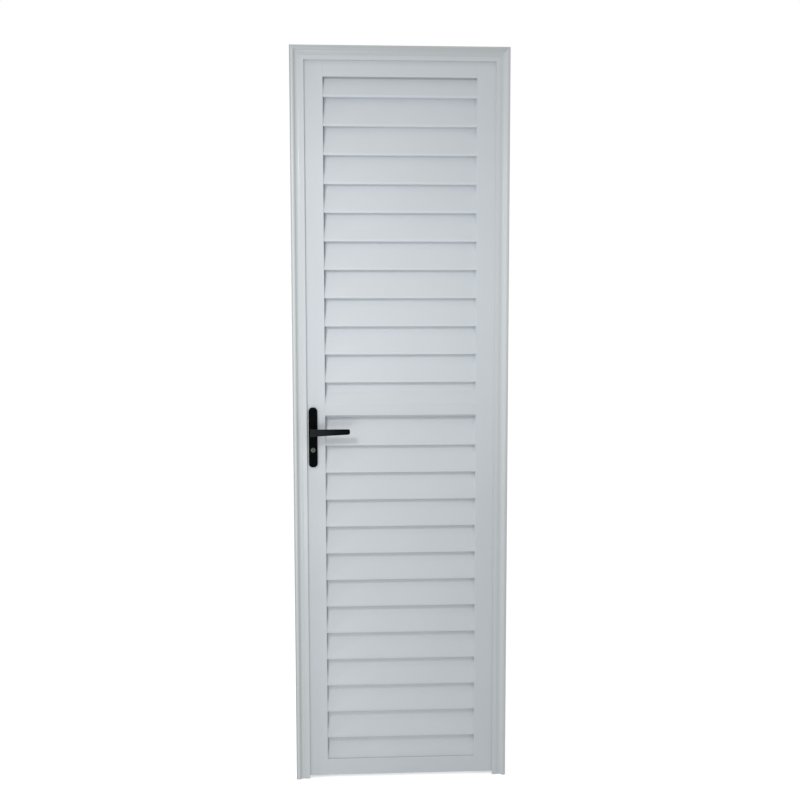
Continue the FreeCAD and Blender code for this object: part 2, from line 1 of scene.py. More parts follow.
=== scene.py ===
# %% [markdown]
# A louvred door of white painted aluminium, dressed for a studio picture. The solids of the door come
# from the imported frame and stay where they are. This lesson gives each of them a finish, adds seals, a
# weather strip, screws and bolt ends, and sets up the light and the camera.

# %% Load the door
import json
import math

import bpy
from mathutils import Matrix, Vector


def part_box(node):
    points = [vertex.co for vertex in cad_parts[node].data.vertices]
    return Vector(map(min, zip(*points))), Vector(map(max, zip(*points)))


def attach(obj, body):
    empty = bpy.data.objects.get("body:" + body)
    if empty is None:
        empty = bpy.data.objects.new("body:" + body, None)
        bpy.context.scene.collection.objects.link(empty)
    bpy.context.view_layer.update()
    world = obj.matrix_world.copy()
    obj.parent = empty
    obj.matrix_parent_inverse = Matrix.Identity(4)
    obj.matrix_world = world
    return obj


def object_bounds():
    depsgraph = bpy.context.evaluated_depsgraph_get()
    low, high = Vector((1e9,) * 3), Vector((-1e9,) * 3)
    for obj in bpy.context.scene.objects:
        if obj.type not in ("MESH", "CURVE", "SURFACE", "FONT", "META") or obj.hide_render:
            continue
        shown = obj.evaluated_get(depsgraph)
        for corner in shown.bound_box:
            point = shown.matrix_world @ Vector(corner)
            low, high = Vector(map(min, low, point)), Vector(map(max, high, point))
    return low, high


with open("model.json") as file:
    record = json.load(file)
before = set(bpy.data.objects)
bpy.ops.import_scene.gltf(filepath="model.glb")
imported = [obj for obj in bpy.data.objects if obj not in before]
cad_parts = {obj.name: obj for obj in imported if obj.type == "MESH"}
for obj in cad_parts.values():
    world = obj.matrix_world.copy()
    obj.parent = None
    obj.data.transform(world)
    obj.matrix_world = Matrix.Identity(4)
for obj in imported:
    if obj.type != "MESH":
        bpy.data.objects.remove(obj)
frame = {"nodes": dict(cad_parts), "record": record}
door_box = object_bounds()
nodes = frame["nodes"]
print(len(nodes), "solids, box", [round(size, 3) for size in door_box[1] - door_box[0]])

# %% [markdown]
# Camera. The photograph was taken from a little left of the door's middle, at chest height and tilted
# down, so the uprights draw together towards the floor. Place, turn and lens were found by fitting the
# door's own edges to the picture. The lean is the slight slant of the picture.

# %% Camera
IMAGE_SIDE = 800
SENSOR_WIDTH = 36.0
FOCAL_LENGTH_PX = 1014.7
CAMERA_PLACE = (-0.4440, -2.8126, 1.3389)
CAMERA_TURN = 2.888
CAMERA_TILT = -5.072
CAMERA_LEAN = -0.085
UPRIGHT = 90

camera_data = bpy.data.cameras.new("photo_camera")
camera_data.sensor_width = SENSOR_WIDTH
camera_data.lens = SENSOR_WIDTH * FOCAL_LENGTH_PX / IMAGE_SIDE
camera = bpy.data.objects.new("photo_camera", camera_data)
camera.location = CAMERA_PLACE
camera_angles = (UPRIGHT + CAMERA_TILT, -CAMERA_LEAN, -CAMERA_TURN)
camera.rotation_euler = [math.radians(angle) for angle in camera_angles]
bpy.context.scene.collection.objects.link(camera)
bpy.context.scene.camera = camera
print("lens", round(camera_data.lens, 1), "mm")

# %% [markdown]
# Light. A door like this is photographed in a plain white room. The soft shadow of the lever falls to the
# right and down, so the main lamp stands to the left and nearly as high as the head. The slats throw
# short shadows at the top, where a low lamp also shines up under them, and longer ones further down. A
# third lamp brightens the lock side near the floor. These three are soft cones. A tall narrow window far
# to the left grazes the door and draws a bright line along the round bead of the hinge jamb. The rest is
# even light from all sides.

# %% Lamps
LEVER_POINT = Vector((-0.50, -0.036, 1.0))


def hang_lamp(lamp, place, angles):
    """Puts a lamp into the scene, out of the camera's sight."""
    lamp_object = bpy.data.objects.new(lamp.name, lamp)
    lamp_object.location = place
    lamp_object.rotation_euler = angles
    lamp_object.visible_camera = False
    bpy.context.scene.collection.objects.link(lamp_object)
    print(lamp.name, [round(number, 2) for number in lamp_object.location])


def studio_lamp(name, turn, rise, distance, radius, aim, half_angle, power):
    """A soft cone of light; turn to the left and rise give its direction from the lever, in degrees."""
    turn = math.radians(turn)
    rise = math.radians(rise)
    toward = Vector((-math.sin(turn) * math.cos(rise), -math.cos(turn) * math.cos(rise), math.sin(rise)))
    place = LEVER_POINT + toward * distance
    lamp = bpy.data.lights.new(name, "SPOT")
    lamp.shadow_soft_size = radius
    lamp.spot_size = math.radians(2 * half_angle)
    lamp.spot_blend = 1.0
    lamp.energy = power
    hang_lamp(lamp, place, (place - Vector(aim)).to_track_quat("Z", "Y").to_euler())


def window_lamp(name, turn, distance, width, height, power):
    """A tall strip of light that looks at the middle of the door; turn to the left is in degrees."""
    turn = math.radians(turn)
    middle = (door_box[0] + door_box[1]) / 2
    place = (middle.x - math.sin(turn) * distance, -math.cos(turn) * distance, middle.z)
    lamp = bpy.data.lights.new(name, "AREA")
    lamp.shape = "RECTANGLE"
    lamp.size = width
    lamp.size_y = height
    lamp.energy = power
    hang_lamp(lamp, place, (math.radians(UPRIGHT), 0, -turn))


studio_lamp(
    "main_lamp", turn=23, rise=31, distance=1.9, radius=0.15,
    aim=(-0.75, 0.0, 1.10), half_angle=40, power=29.8)
studio_lamp(
    "low_lamp", turn=12, rise=-20, distance=2.6, radius=0.50,
    aim=(-0.28, 0.0, 1.72), half_angle=23, power=94.0)
studio_lamp(
    "side_lamp", turn=8, rise=-14, distance=2.4, radius=0.30,
    aim=(-0.92, 0.0, 0.55), half_angle=24, power=23.0)
window_lamp("window_lamp", turn=79, distance=2.4, width=0.25, height=2.0, power=7.2)

# %% [markdown]
# Node helpers. Materials are graphs of nodes. Short helpers keep the graphs readable: they add a node and
# set its sockets by name, split a vector, do a sum, fade a value from one range to another, and mix two
# colours.

# %% Node helpers


def set_socket(tree, socket, value):
    """Links a socket to another one, or gives it a plain value."""
    if isinstance(value, bpy.types.NodeSocket):
        tree.links.new(value, socket)
    else:
        socket.default_value = value


def add_node(tree, kind, settings=None, **sockets):
    """A node of a kind, with its own settings and with values or links for its named sockets."""
    node = tree.nodes.new(kind)
    for name, value in (settings or {}).items():
        setattr(node, name, value)
    for name, value in sockets.items():
        set_socket(tree, node.inputs[name.replace("_", " ")], value)
    return node


def split(tree, vector):
    """The sockets X, Y and Z of a vector."""
    return add_node(tree, "ShaderNodeSeparateXYZ", Vector=vector).outputs


def math_node(tree, operation, first, second=0.0, clamp=False):
    """The result of a sum on two values or sockets."""
    node = add_node(tree, "ShaderNodeMath", {"operation": operation, "use_clamp": clamp})
    for socket, value in zip(node.inputs, (first, second)):
        set_socket(tree, socket, value)
    return node.outputs[0]


def fade(tree, value, low, high, to_low=0.0, to_high=1.0):
    """A value carried from one range to another with soft ends."""
    node = add_node(
        tree, "ShaderNodeMapRange", {"interpolation_type": "SMOOTHSTEP"},
        Value=value, From_Min=low, From_Max=high, To_Min=to_low, To_Max=to_high)
    return node.outputs["Result"]


def mix_colour(tree, amount, first, second):
    """Two colours mixed by an amount."""
    node = add_node(tree, "ShaderNodeMix", {"data_type": "RGBA"})
    for socket, value in zip((node.inputs[0], node.inputs[6], node.inputs[7]), (amount, first, second)):
        set_socket(tree, socket, value)
    return node.outputs[2]


print("node helpers ready")

# %% [markdown]
# Groups and materials. An effect that several materials share is a group with named sockets: it is built
# once and then placed in each material with its own values. A new material starts with its shader and its
# coordinates.

# %% Group and material helpers
SOCKET_KINDS = {"value": "NodeSocketFloat", "colour": "NodeSocketColor", "vector": "NodeSocketVector"}


def new_group(name, inputs, outputs):
    """An empty node group with named sockets; returns it with its input and output nodes."""
    group = bpy.data.node_groups.new(name, "ShaderNodeTree")
    for socket, kind in inputs.items():
        group.interface.new_socket(socket, in_out="INPUT", socket_type=SOCKET_KINDS[kind])
    for socket, kind in outputs.items():
        group.interface.new_socket(socket, in_out="OUTPUT", socket_type=SOCKET_KINDS[kind])
    return group, group.nodes.new("NodeGroupInput"), group.nodes.new("NodeGroupOutput")


def place_group(tree, group, **sockets):
    """A group put into a material, with values or links for its named sockets."""
    return add_node(tree, "ShaderNodeGroup", {"node_tree": group}, **sockets)


def new_material(name):
    """A material; returns it with its node tree, its Principled shader and its coordinates."""
    material = bpy.data.materials.new(name)
    material.use_nodes = True
    tree = material.node_tree
    return material, tree, tree.nodes["Principled BSDF"], tree.nodes.new("ShaderNodeTexCoord")


print("group and material helpers ready")

# %% [markdown]
# Room. The floor is plain white paint. What the camera and shiny surfaces see of floor and room is lifted
# to white, while the light that reaches the door stays at its plain level, and the floor keeps the door's
# shadow.

# %% Room
ROOM_LIGHT = 0.510
ROOM_WHITE = (1, 1, 1, 1)


def seen_directly(tree):
    """1 for rays from the camera, a mirror or glass, and 0 for light that falls on the door."""
    path = tree.nodes.new("ShaderNodeLightPath")
    mirror = math_node(tree, "MAXIMUM", path.outputs["Is Glossy Ray"], path.outputs["Is Transmission Ray"])
    return math_node(tree, "MAXIMUM", path.outputs["Is Camera Ray"], mirror)


world = bpy.data.worlds.new("white_room")
world.use_nodes = True
tree = world.node_tree
tree.nodes.clear()
lit = add_node(tree, "ShaderNodeBackground", Color=ROOM_WHITE, Strength=ROOM_LIGHT)
white = add_node(tree, "ShaderNodeBackground", Color=ROOM_WHITE, Strength=1.0)
blend = add_node(tree, "ShaderNodeMixShader", Fac=seen_directly(tree))
tree.links.new(lit.outputs[0], blend.inputs[1])
tree.links.new(white.outputs[0], blend.inputs[2])
room_out = tree.nodes.new("ShaderNodeOutputWorld")
tree.links.new(blend.outputs[0], room_out.inputs["Surface"])
bpy.context.scene.world = world
bpy.context.scene.view_settings.view_transform = "Standard"
print("room light", ROOM_LIGHT)

# %% Floor
FLOOR_WHITE = (0.93, 0.93, 0.93, 1)
FLOOR_LIFT = 0.56
FLOOR_SIDE = 240.0

bpy.ops.object.select_all(action="DESELECT")
bpy.ops.mesh.primitive_plane_add(size=FLOOR_SIDE, location=(0, 0, door_box[0].z))
floor = bpy.context.object
floor.name = "floor"
floor_paint = bpy.data.materials.new("floor_paint")
floor_paint.use_nodes = True
tree = floor_paint.node_tree
tree.nodes.clear()
matt = add_node(tree, "ShaderNodeBsdfDiffuse", Color=FLOOR_WHITE)
lift_strength = math_node(tree, "MULTIPLY", seen_directly(tree), FLOOR_LIFT)
lift = add_node(tree, "ShaderNodeEmission", Strength=lift_strength)
both = tree.nodes.new("ShaderNodeAddShader")
tree.links.new(matt.outputs[0], both.inputs[0])
tree.links.new(lift.outputs[0], both.inputs[1])
floor_out = tree.nodes.new("ShaderNodeOutputMaterial")
tree.links.new(both.outputs[0], floor_out.inputs["Surface"])
floor.data.materials.append(floor_paint)
print("floor at", round(door_box[0].z, 4))

# %% [markdown]
# Powder coat. White doors of this kind are sprayed with dry powder and baked. The cured film has a faint
# orange peel, a slightly uneven thickness that shows as soft clouds, and a few tiny nibs where dust was
# baked in. One group makes these three patterns from Object coordinates, so they stay on the piece when
# the door moves.

# %% Powder coat group
CLOUD_RANGE = (0.3, 0.7)
NIBS_PER_METRE = 26.0
NIB_REACH = 0.022
NIB_PICK = (0.60, 0.66)
NIB_RISE = 1.5

coat_group, coat_in, coat_out = new_group(
    "powder_coat_film",
    {"Place": "vector", "Peel per metre": "value", "Cloud per metre": "value"},
    {"Height": "value", "Cloud": "value", "Nib": "value"},
)
peel = add_node(
    coat_group, "ShaderNodeTexNoise",
    Vector=coat_in.outputs["Place"], Scale=coat_in.outputs["Peel per metre"], Detail=2.0, Roughness=0.45,
)
cloud = add_node(
    coat_group, "ShaderNodeTexNoise",
    Vector=coat_in.outputs["Place"], Scale=coat_in.outputs["Cloud per metre"], Detail=3.0, Roughness=0.55,
)
nib_cells = add_node(
    coat_group, "ShaderNodeTexVoronoi", Vector=coat_in.outputs["Place"], Scale=NIBS_PER_METRE)
nib_dot = fade(coat_group, nib_cells.outputs["Distance"], 0.0, NIB_REACH, 1.0, 0.0)
nib_pick = fade(coat_group, nib_cells.outputs["Color"], *NIB_PICK)
nib = math_node(coat_group, "MULTIPLY", nib_dot, nib_pick)
film = math_node(coat_group, "ADD", peel.outputs["Fac"], math_node(coat_group, "MULTIPLY", nib, NIB_RISE))
coat_group.links.new(film, coat_out.inputs["Height"])
coat_group.links.new(fade(coat_group, cloud.outputs["Fac"], *CLOUD_RANGE), coat_out.inputs["Cloud"])
coat_group.links.new(nib, coat_out.inputs["Nib"])
print(coat_group.name, len(coat_group.nodes), "nodes")

# %% [markdown]
# Dust. On a louvred door dust settles where a surface looks up: on the ledges of the rails and on the
# sloping slats. Near the floor there is also a little splash. The group reads the direction of the
# surface and its height, breaks the edge of the dust up with noise, and mixes the colour of the dust into
# the paint.

# %% Dust group
PATCHES_PER_METRE = 38.0
PATCH_RANGE = (0.35, 0.68)
PATCH_LEAST = 0.35
LEDGE_RANGE = (0.12, 0.95)
SPLASH_HEIGHT = 0.20
SPLASH_COVER = 0.30

dust_group, dust_in, dust_out = new_group(
    "settled_dust",
    {"Place": "vector", "Colour": "colour", "Dust": "colour", "Amount": "value"},
    {"Colour": "colour", "Mask": "value"},
)
surface = dust_group.nodes.new("ShaderNodeNewGeometry")
facing = split(dust_group, surface.outputs["Normal"])
spot = split(dust_group, dust_in.outputs["Place"])
patches = add_node(
    dust_group, "ShaderNodeTexNoise",
    Vector=dust_in.outputs["Place"], Scale=PATCHES_PER_METRE, Detail=5.0, Roughness=0.62,
)
ledge = fade(dust_group, facing["Z"], *LEDGE_RANGE)
splash = fade(dust_group, spot["Z"], 0.0, SPLASH_HEIGHT, SPLASH_COVER, 0.0)
cover = math_node(dust_group, "MAXIMUM", ledge, splash)
patchy = fade(dust_group, patches.outputs["Fac"], *PATCH_RANGE, PATCH_LEAST, 1.0)
broken = math_node(dust_group, "MULTIPLY", cover, patchy)
dust_mask = math_node(dust_group, "MULTIPLY", broken, dust_in.outputs["Amount"], clamp=True)
dusty = mix_colour(dust_group, dust_mask, dust_in.outputs["Colour"], dust_in.outputs["Dust"])
dust_group.links.new(dusty, dust_out.inputs["Colour"])
dust_group.links.new(dust_mask, dust_out.inputs["Mask"])
print(dust_group.name, len(dust_group.nodes), "nodes")

# %% [markdown]
# Painted shade. Shade that falls in corners and under overhangs is painted into the colour of the white
# finishes as a darker grey. Each darkened place is a soft range of Object coordinates or of the direction
# of the surface, and each of three functions makes the mask for one white finish. On the slats the shade
# is painted on the outer face only: at the ends beside the stiles, where they lie deep under the slat
# above, and under the top rail.

# %% Painted shade on the slats
# Dark grey mixed into the white finishes as painted shade, and on the leaf also for its darker ledge.
DARKENING_GREY = (0.13, 0.13, 0.135, 1)
SLAT_FRONT = 0.011
LOCK_END_WIDTH = 0.0055
LOCK_END_DEPTH = (0.003, 0.012)
LOCK_END_SHADE = 0.64
HINGE_END_WIDTH = 0.014
HINGE_END_DEPTH = (0.011, 0.019)
HINGE_END_SHADE = 0.14
UNDER_RAIL_HEIGHT = 0.005
UNDER_RAIL_SHADE = 0.35
OUTER_SIDE = (-0.4, -0.1)
lock_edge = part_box("lock_stile")[1].x
hinge_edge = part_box("hinge_stile")[0].x
rail_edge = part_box("top_rail")[0].z


def behind_front(tree, depth, reach):
    """A mask that grows from 0 to 1 over a reach behind the front of the slats."""
    return fade(tree, depth, SLAT_FRONT + reach[0], SLAT_FRONT + reach[1])


def slat_painted_shade(tree, coordinates):
    """The mask of the painted shade on the outer face of a slat."""
    spot = split(tree, coordinates.outputs["Object"])
    side = split(tree, coordinates.outputs["Normal"])
    # Painted shade at both ends of the slat, deepest where it lies under the slat above, and under the top
    # rail.
    lock_end = math_node(
        tree, "MULTIPLY",
        fade(tree, spot["X"], lock_edge, lock_edge + LOCK_END_WIDTH, LOCK_END_SHADE, 0.0),
        behind_front(tree, spot["Y"], LOCK_END_DEPTH))
    hinge_end = math_node(
        tree, "MULTIPLY",
        fade(tree, spot["X"], hinge_edge - HINGE_END_WIDTH, hinge_edge, 0.0, HINGE_END_SHADE),
        behind_front(tree, spot["Y"], HINGE_END_DEPTH))
    under_rail = fade(tree, spot["Z"], rail_edge - UNDER_RAIL_HEIGHT, rail_edge, 0.0, UNDER_RAIL_SHADE)
    corner = math_node(tree, "MAXIMUM", math_node(tree, "MAXIMUM", lock_end, hinge_end), under_rail)
    return math_node(tree, "MULTIPLY", corner, fade(tree, side["Y"], *OUTER_SIDE, 1.0, 0.0))


print("dirt on the slats between x", round(lock_edge, 3), "and", round(hinge_edge, 3))

# %% [markdown]
# On the leaf, shade is painted on the undersides and under the lip of the head, and the ledge of the
# bottom rail is darker.

# %% Painted shade on the leaf
UNDERSIDE = (-0.9, -0.5)
UNDERSIDE_SHADE = 0.40
LEDGE_SIDE = (0.5, 0.9)
LEDGE_LEVEL = (0.06, 0.20)
LEDGE_DARKENING = 0.25
UNDER_HEAD_HEIGHT = 0.017
UNDER_HEAD_SHADE = 0.13
head_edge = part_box("head")[0].z


def leaf_shade_and_ledge(tree, coordinates):
    """Painted shade under the leaf and under the head's lip, and a darker ledge on its bottom rail."""
    spot = split(tree, coordinates.outputs["Object"])
    side = split(tree, coordinates.outputs["Normal"])
    # Painted shade on the undersides of the leaf and under the head's lip; the ledge of the bottom rail is
    # darker.
    underside = fade(tree, side["Z"], *UNDERSIDE, UNDERSIDE_SHADE, 0.0)
    ledge = math_node(
        tree, "MULTIPLY",
        fade(tree, side["Z"], *LEDGE_SIDE, 0.0, LEDGE_DARKENING), fade(tree, spot["Z"], *LEDGE_LEVEL, 1.0, 0.0))
    under_head = fade(tree, spot["Z"], head_edge - UNDER_HEAD_HEIGHT, head_edge, 0.0, UNDER_HEAD_SHADE)
    return math_node(tree, "MAXIMUM", math_node(tree, "MAXIMUM", underside, ledge), under_head)


print("dirt under the head from z", round(head_edge - UNDER_HEAD_HEIGHT, 3))

# %% [markdown]
# On the front of the frame shade is painted into the hollow beside the bead of the lock jamb and of
# the head, and along the outer flank of the lock jamb. Distances are counted from the outer edges of the
# frame, and the mitre is where two of them are equal.

# %% Painted shade on the frame
FLANK_REACH = (0.0014, 0.0048)
FLANK_SHADE = 0.47
JAMB_HOLLOW = (0.0085, 0.0115, 0.0135, 0.0185)
JAMB_HOLLOW_SHADE = 0.20
HEAD_HOLLOW = (0.003, 0.007, 0.010, 0.030)
HEAD_HOLLOW_SHADE = 0.22
FRONT_DEPTH = (0.0025, 0.0035)


def band(tree, value, start, full, end, gone, amount):
    """A soft band: it rises from start to full, and falls from end to gone."""
    rise = fade(tree, value, start, full, 0.0, amount)
    return math_node(tree, "MULTIPLY", rise, fade(tree, value, end, gone, 1.0, 0.0))


def moulding_painted_shade(tree, coordinates):
    """The mask of the painted shade on the front of the lock jamb and of the head, cut off at the mitres.
    """
    spot = split(tree, coordinates.outputs["Object"])
    from_lock_side = math_node(tree, "SUBTRACT", spot["X"], door_box[0].x)
    from_hinge_side = math_node(tree, "SUBTRACT", door_box[1].x, spot["X"])
    from_top = math_node(tree, "SUBTRACT", door_box[1].z, spot["Z"])
    # Painted shade on the outer flank of the lock jamb and in the hollows beside the beads.
    outer_flank = fade(tree, from_lock_side, *FLANK_REACH, FLANK_SHADE, 0.0)
    jamb_hollow = band(tree, from_lock_side, *JAMB_HOLLOW, JAMB_HOLLOW_SHADE)
    jamb = math_node(tree, "MAXIMUM", jamb_hollow, outer_flank)
    head = band(tree, from_top, *HEAD_HOLLOW, HEAD_HOLLOW_SHADE)
    on_jamb = math_node(tree, "GREATER_THAN", from_top, from_lock_side)
    off_jamb = math_node(tree, "SUBTRACT", 1.0, on_jamb)
    before_end = math_node(tree, "GREATER_THAN", from_hinge_side, from_top)
    head = math_node(tree, "MULTIPLY", math_node(tree, "MULTIPLY", head, before_end), off_jamb)
    hollow = math_node(tree, "ADD", math_node(tree, "MULTIPLY", jamb, on_jamb), head)
    return math_node(tree, "MULTIPLY", hollow, fade(tree, spot["Y"], *FRONT_DEPTH, 1.0, 0.0))


print("dirt on the frame from x", round(door_box[0].x, 3))

# %% [markdown]
# White finishes. Frame, leaf and slats are cut from different lengths of profile and coated apart, so
# their whites differ a little. Each gets its own colour and the same film and dust, with its own values.
# The shine is satin: broad soft highlights along the mouldings and no mirror.

# %% White finishes
DUST_GREY = (0.46, 0.45, 0.42, 1)
PEEL_HEIGHT = 0.00006
NIB_TINT = 0.18
SATIN_SPREAD = 0.04
DUST_DULLING = 0.3


def white_coat(name, colour, clouded, roughness, dust, darkening=None):
    """A satin white powder coat; darkening is the function that makes the mask of its painted shade."""
    material, tree, shader, coordinates = new_material(name)
    place = coordinates.outputs["Object"]
    film = place_group(tree, coat_group, Place=place, Peel_per_metre=420.0, Cloud_per_metre=4.5)
    paint = mix_colour(tree, film.outputs["Cloud"], colour, clouded)
    specked = mix_colour(tree, math_node(tree, "MULTIPLY", film.outputs["Nib"], NIB_TINT), paint, DUST_GREY)
    settled = place_group(tree, dust_group, Place=place, Colour=specked, Dust=DUST_GREY, Amount=dust)
    finished = settled.outputs["Colour"]
    if darkening:
        # Painted shade, mixed into the colour as dark grey by the darkening mask.
        finished = mix_colour(tree, darkening(tree, coordinates), finished, DARKENING_GREY)
    tree.links.new(finished, shader.inputs["Base Color"])
    satin = fade(tree, film.outputs["Cloud"], 0.0, 1.0, roughness - SATIN_SPREAD, roughness + SATIN_SPREAD)
    dulling = math_node(tree, "MULTIPLY", settled.outputs["Mask"], DUST_DULLING)
    tree.links.new(math_node(tree, "ADD", satin, dulling, clamp=True), shader.inputs["Roughness"])
    bump = add_node(
        tree, "ShaderNodeBump", Strength=0.35, Distance=PEEL_HEIGHT, Height=film.outputs["Height"])
    tree.links.new(bump.outputs["Normal"], shader.inputs["Normal"])
    return material


finishes = {
    "frame_white": white_coat(
        "frame_white", (0.724, 0.768, 0.786, 1), (0.708, 0.752, 0.770, 1),
        roughness=0.33, dust=0.10, darkening=moulding_painted_shade),
    "leaf_white": white_coat(
        "leaf_white", (0.727, 0.775, 0.815, 1), (0.712, 0.759, 0.794, 1),
        roughness=0.42, dust=0.04, darkening=leaf_shade_and_ledge),
    "slat_white": white_coat(
        "slat_white", (0.755, 0.800, 0.839, 1), (0.737, 0.783, 0.818, 1),
        roughness=0.44, dust=0.08, darkening=slat_painted_shade),
    "hinge_white": white_coat(
        "hinge_white", (0.740, 0.765, 0.775, 1), (0.715, 0.740, 0.750, 1), roughness=0.36, dust=0.12),
}
print("white finishes:", ", ".join(finishes))

# %% [markdown]
# Rubbed edges. Hands and keys polish the black paint and the metal first along the edges. The Bevel node
# looks at the surfaces round a point: near an edge the rounded direction differs from the true one, and
# that difference is the mask of the rubbed line. Noise breaks it up, because no hand rubs evenly.

# %% Rubbed edge group
EDGE_LIKENESS = (0.80, 0.99)
RUB_RANGE = (0.42, 0.66)

rub_group, rub_in, rub_out = new_group(
    "rubbed_edges",
    {"Place": "vector", "Reach": "value", "Amount": "value"},
    {"Mask": "value", "Soft normal": "vector"},
)
rounded = add_node(rub_group, "ShaderNodeBevel", {"samples": 6}, Radius=rub_in.outputs["Reach"])
true_side = rub_group.nodes.new("ShaderNodeNewGeometry")
alike = add_node(rub_group, "ShaderNodeVectorMath", {"operation": "DOT_PRODUCT"})
rub_group.links.new(rounded.outputs["Normal"], alike.inputs[0])
rub_group.links.new(true_side.outputs["True Normal"], alike.inputs[1])
edge = fade(rub_group, alike.outputs["Value"], *EDGE_LIKENESS, 1.0, 0.0)
rub_noise = add_node(
    rub_group, "ShaderNodeTexNoise",
    Vector=rub_in.outputs["Place"], Scale=160.0, Detail=4.0, Roughness=0.6,
)
rubbed = math_node(rub_group, "MULTIPLY", edge, fade(rub_group, rub_noise.outputs["Fac"], *RUB_RANGE))
rub_mask = math_node(rub_group, "MULTIPLY", rubbed, rub_in.outputs["Amount"])
rub_group.links.new(rub_mask, rub_out.inputs["Mask"])
rub_group.links.new(rounded.outputs["Normal"], rub_out.inputs["Soft normal"])
print(rub_group.name, len(rub_group.nodes), "nodes")

# %% [markdown]
# Black handle. Lever and plates are die-cast and sprayed black. The plates are matt and hardly touched.
# The levers are a little shinier, and their paint fades from a lighter grey at the hub to black at the tip.

# %% Black handle finish
BLACK_WORN = (0.045, 0.046, 0.047, 1)
BLACK_DUST = (0.060, 0.058, 0.055, 1)
PLATE_BLACK = (0.0020, 0.0031, 0.0036, 1)
HUB_GREY = (0.0218, 0.0228, 0.0245, 1)
TIP_BLACK = (0.0006, 0.0022, 0.0028, 1)
BLACK_SPREAD = 0.07
lever_low, lever_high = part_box("front_lever")


def sprayed_black(name, hub_colour, tip_colour, shine, roughness):
    """Black spray paint with rubbed edges; along x the colour at the hub fades to that at the tip."""
    material, tree, shader, coordinates = new_material(name)
    place = coordinates.outputs["Object"]
    shader.inputs["Specular IOR Level"].default_value = shine
    toward_tip = fade(tree, split(tree, place)["X"], lever_low.x, lever_high.x)
    paint = mix_colour(tree, toward_tip, hub_colour, tip_colour)
    film = place_group(tree, coat_group, Place=place, Peel_per_metre=900.0, Cloud_per_metre=28.0)
    rub = place_group(tree, rub_group, Place=place, Reach=0.0012, Amount=0.4)
    dust = place_group(tree, dust_group, Place=place, Colour=paint, Dust=BLACK_DUST, Amount=0.22)
    worn = mix_colour(tree, rub.outputs["Mask"], dust.outputs["Colour"], BLACK_WORN)
    tree.links.new(worn, shader.inputs["Base Color"])
    satin = fade(tree, film.outputs["Cloud"], 0.0, 1.0, roughness - BLACK_SPREAD, roughness + BLACK_SPREAD)
    tree.links.new(satin, shader.inputs["Roughness"])
    bump = add_node(
        tree, "ShaderNodeBump",
        Strength=0.3, Distance=0.00004, Height=film.outputs["Height"], Normal=rub.outputs["Soft normal"],
    )
    tree.links.new(bump.outputs["Normal"], shader.inputs["Normal"])
    return material


finishes["handle_black"] = sprayed_black(
    "handle_black", PLATE_BLACK, PLATE_BLACK, shine=0.02, roughness=0.55)
finishes["lever_black"] = sprayed_black(
    "lever_black", HUB_GREY, TIP_BLACK, shine=0.035, roughness=0.45)
print("black finishes ready")

# %% [markdown]
# Bare metal. The lock's face plate, strike plate and spindle are brushed steel, with fine scratches along
# their length. The key cylinder is dull nickel with an even grain. Both come from noise, which a Mapping
# node stretches for the steel, and the rubbed edges show less tarnish.

# %% Metal finishes
TARNISH_RANGE = (0.40, 0.75)
SCRATCH_RANGE = (0.3, 0.7)
SMOOTHER = 0.08
ROUGHER = 0.10


def brushed_metal(name, colour, dark, stretch, roughness):
    """Brushed metal with scratches along the axis where the stretch is small."""
    material, tree, shader, coordinates = new_material(name)
    place = coordinates.outputs["Object"]
    shader.inputs["Metallic"].default_value = 1.0
    drawn = add_node(tree, "ShaderNodeMapping", Vector=place, Scale=stretch)
    scratch = add_node(
        tree, "ShaderNodeTexNoise",
        Vector=drawn.outputs["Vector"], Scale=900.0, Detail=4.0, Roughness=0.6,
    )
    stain = add_node(tree, "ShaderNodeTexNoise", Vector=place, Scale=60.0, Detail=4.0, Roughness=0.6)
    rub = place_group(tree, rub_group, Place=place, Reach=0.0006, Amount=0.5)
    base = mix_colour(tree, fade(tree, stain.outputs["Fac"], *TARNISH_RANGE), colour, dark)
    tree.links.new(mix_colour(tree, rub.outputs["Mask"], base, colour), shader.inputs["Base Color"])
    shine = fade(tree, scratch.outputs["Fac"], *SCRATCH_RANGE, roughness - SMOOTHER, roughness + ROUGHER)
    tree.links.new(shine, shader.inputs["Roughness"])
    bump = add_node(
        tree, "ShaderNodeBump",
        Strength=0.2, Distance=0.00003, Height=scratch.outputs["Fac"], Normal=rub.outputs["Soft normal"],
    )
    tree.links.new(bump.outputs["Normal"], shader.inputs["Normal"])
    return material


finishes["cylinder_nickel"] = brushed_metal(
    "cylinder_nickel", (0.091, 0.097, 0.084, 1), (0.053, 0.056, 0.048, 1),
    stretch=(1.0, 1.0, 1.0), roughness=0.45)
finishes["lock_steel"] = brushed_metal(
    "lock_steel", (0.58, 0.58, 0.57, 1), (0.40, 0.40, 0.39, 1),
    stretch=(1.0, 1.0, 0.03), roughness=0.34)
print("all finishes:", ", ".join(finishes))

# %% [markdown]
# Dressing the solids. The record names a material slot for every solid, so one loop gives each its
# finish.

# %% Dress the solids
for part in frame["record"]["subparts"]:
    solid = nodes[part["node"]]
    solid.data.materials.clear()
    solid.data.materials.append(finishes[part["material_slot"]])

# %% [markdown]
# Modelling helpers. A piece starts as a cube or cylinder. Its faces are picked by the way they look, and
# then moved, inset, extruded or bevelled. A face looks along an axis if nearly all of its normal lies on
# it.

# %% Modelling helpers
ALONG = 0.9


def select_faces(piece, wanted):
    """In edit mode with only those faces selected for which wanted(centre, normal) is true."""
    bpy.ops.object.mode_set(mode="EDIT")
    bpy.ops.mesh.select_mode(type="FACE")
    bpy.ops.mesh.select_all(action="DESELECT")
    bpy.ops.object.mode_set(mode="OBJECT")
    for face in piece.data.polygons:
        face.select = wanted(face.center, face.normal)
    bpy.ops.object.mode_set(mode="EDIT")


